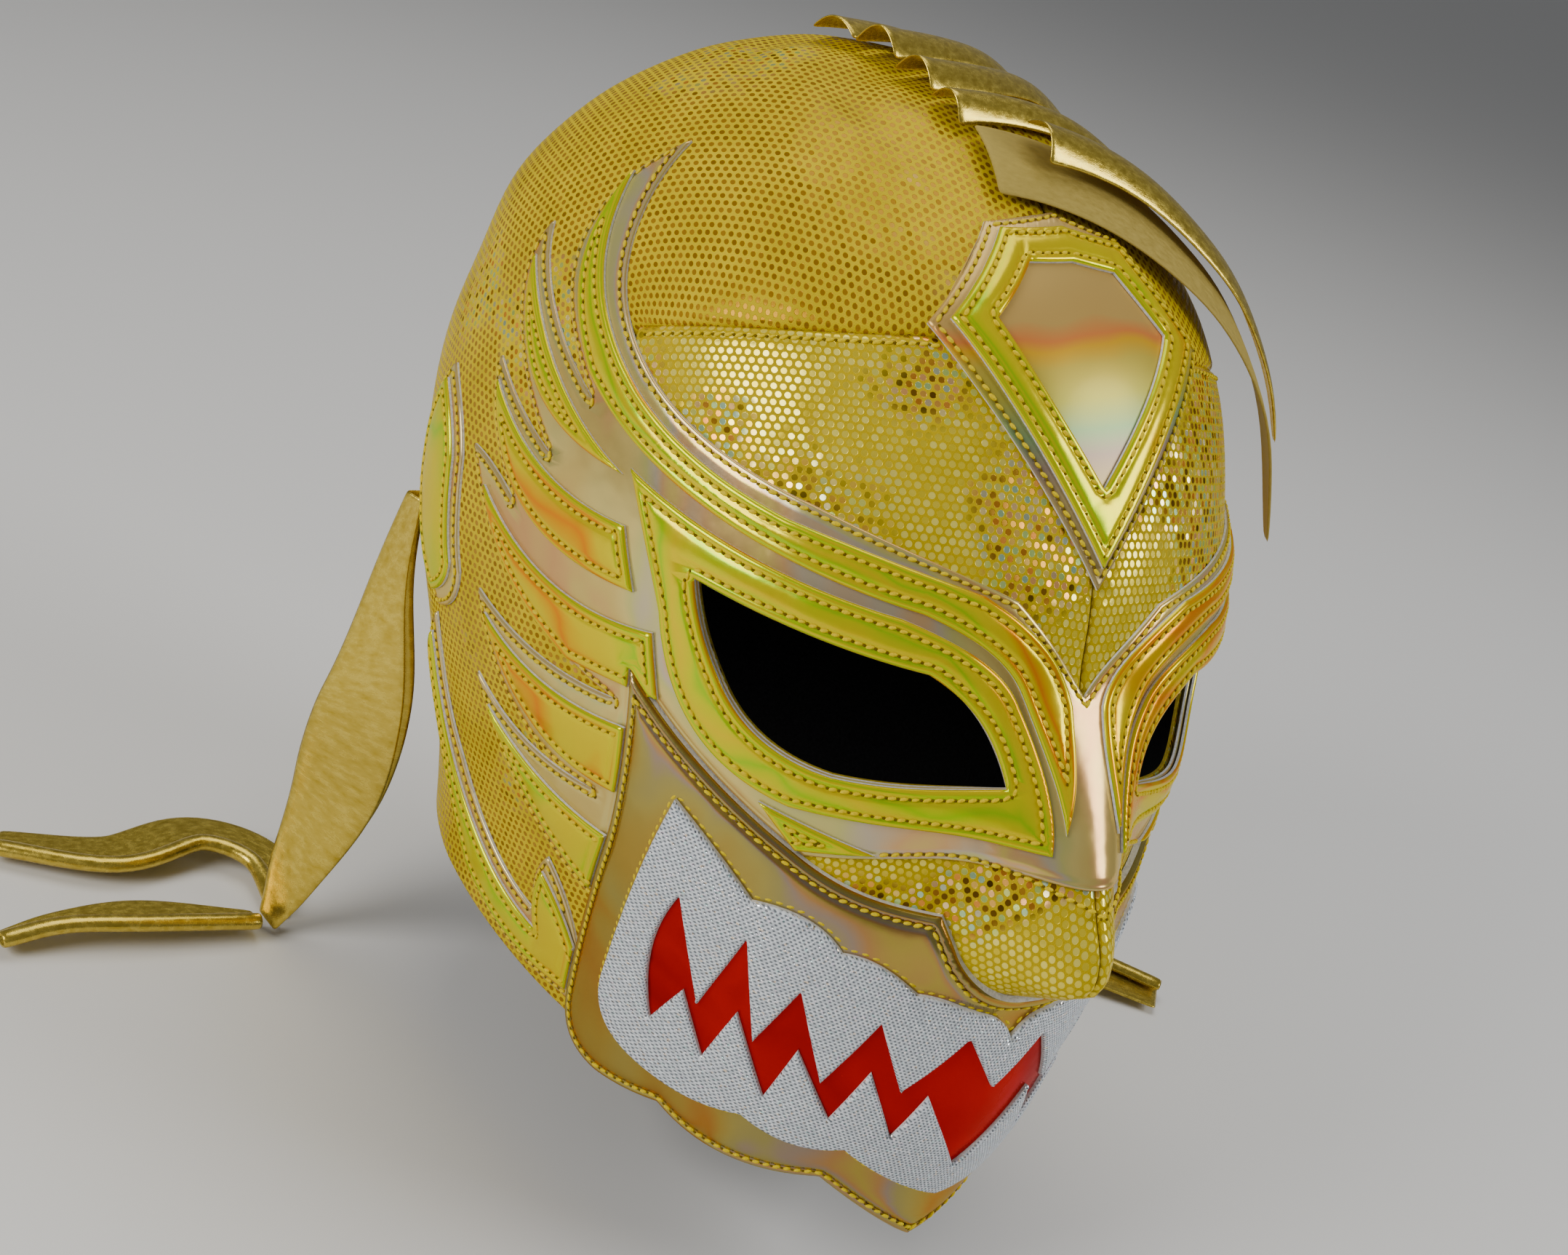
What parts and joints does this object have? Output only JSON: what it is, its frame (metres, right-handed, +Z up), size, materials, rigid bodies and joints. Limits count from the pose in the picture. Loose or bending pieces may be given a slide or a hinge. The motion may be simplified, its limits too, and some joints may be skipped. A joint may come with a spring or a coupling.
{
  "type": "luchador mask",
  "caption": "Wrestling hood in gold mesh with sewn flame shapes, a forehead lozenge, a toothed mouth, a folded strip crest and side ribbons, in its worn form.",
  "frame": {"origin": "inside the crown, where the hood sits on the top of the head", "axes": "+Z up out of the top of the head, the face looks along -Y, the wearer's left is +X"},
  "size_m": [0.3143, 0.2272, 0.2491],
  "materials": {
    "face_knit": "mustard knit with foil dots",
    "crown_mesh": "fine gold mesh",
    "pearl_vinyl": "pearly mirror film",
    "flame_vinyl": "yellow rainbow film",
    "gold_vinyl": "padded gold rainbow film",
    "tooth_fabric": "white glitter mesh",
    "red_vinyl": "glossy red vinyl",
    "lame": "brushed gold lame, matt inside"
  },
  "bodies": {
    "root": {"face_panel_left": "face_knit", "face_panel_right": "face_knit", "crown_panel_left": "crown_mesh", "crown_panel_right": "crown_mesh", "flame_base": "pearl_vinyl", "eye_ring_left": "flame_vinyl", "eye_ring_right": "flame_vinyl", "brow_flame_left": "flame_vinyl", "brow_flame_right": "flame_vinyl", "side_flame_1_left": "flame_vinyl", "side_flame_2_left": "flame_vinyl", "side_flame_3_left": "flame_vinyl", "side_flame_4_left": "flame_vinyl", "side_flame_5_left": "flame_vinyl", "side_flame_1_right": "flame_vinyl", "side_flame_2_right": "flame_vinyl", "side_flame_3_right": "flame_vinyl", "side_flame_4_right": "flame_vinyl", "side_flame_5_right": "flame_vinyl", "cheek_sliver_left": "flame_vinyl", "cheek_sliver_right": "flame_vinyl", "ear_base_left": "pearl_vinyl", "ear_base_right": "pearl_vinyl", "ear_flame_left": "flame_vinyl", "ear_flame_right": "flame_vinyl", "jaw_base_left": "pearl_vinyl", "jaw_base_right": "pearl_vinyl", "jaw_flame_left": "flame_vinyl", "jaw_flame_right": "flame_vinyl", "emblem_base": "pearl_vinyl", "emblem_frame": "flame_vinyl", "mouth_border": "gold_vinyl", "red_band": "red_vinyl", "tooth_panel": "tooth_fabric", "crest_lock_1": "lame", "crest_lock_2": "lame", "crest_lock_3": "lame", "crest_lock_4": "lame", "crest_tail_1": "lame", "crest_tail_2": "lame", "ribbon_fall_left": "lame", "ribbon_fall_right": "lame", "ribbon_end_right_1": "lame", "ribbon_end_right_2": "lame", "ribbon_end_left": "lame"}
  },
  "joints": []
}
